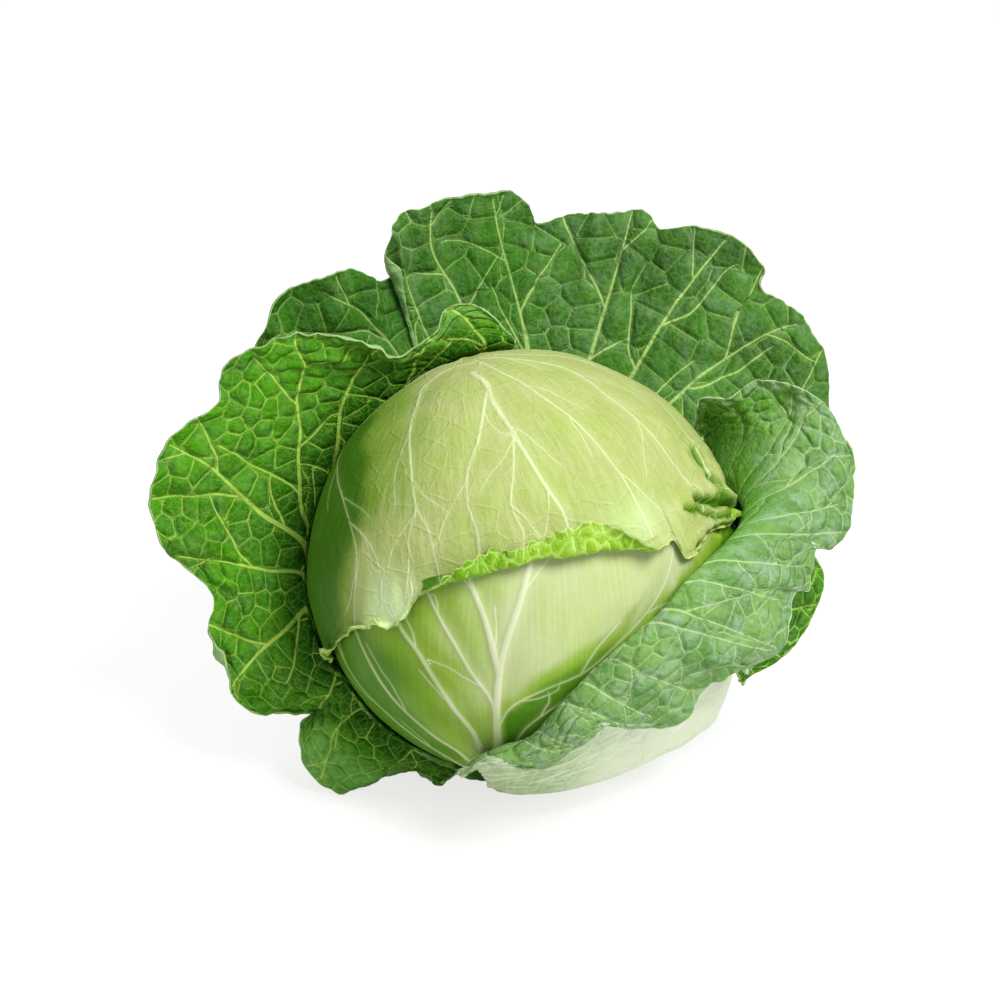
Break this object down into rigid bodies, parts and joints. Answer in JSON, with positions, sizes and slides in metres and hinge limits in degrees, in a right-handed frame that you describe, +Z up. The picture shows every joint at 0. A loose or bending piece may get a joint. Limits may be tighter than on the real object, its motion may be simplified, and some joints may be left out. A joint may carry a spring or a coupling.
{
  "type": "cabbage head",
  "caption": "Round green cabbage head with tightly wrapped pale leaves and loose ruffled outer leaves, cut at the stump",
  "frame": {"origin": "centre of the stump's flat cut face, on the surface that the head stands on", "axes": "+Z up through the head's centre; -Y towards the front, where the top leaf's edge crosses the head; +X to the right seen from the front"},
  "size_m": [0.2858, 0.2223, 0.2174],
  "materials": {
    "cut_stem": "matte",
    "pale_head_leaf": "satin",
    "light_head_leaf": "satin",
    "frosted_outer_leaf": "matte",
    "green_outer_leaf": "satin",
    "dark_outer_leaf": "satin"
  },
  "bodies": {
    "root": {"stump": "cut_stem", "packed_head": "pale_head_leaf", "top_head_leaf": "light_head_leaf", "right_outer_leaf": "frosted_outer_leaf", "left_outer_leaf": "green_outer_leaf", "back_outer_leaf": "dark_outer_leaf", "low_outer_leaf": "green_outer_leaf"}
  },
  "joints": []
}
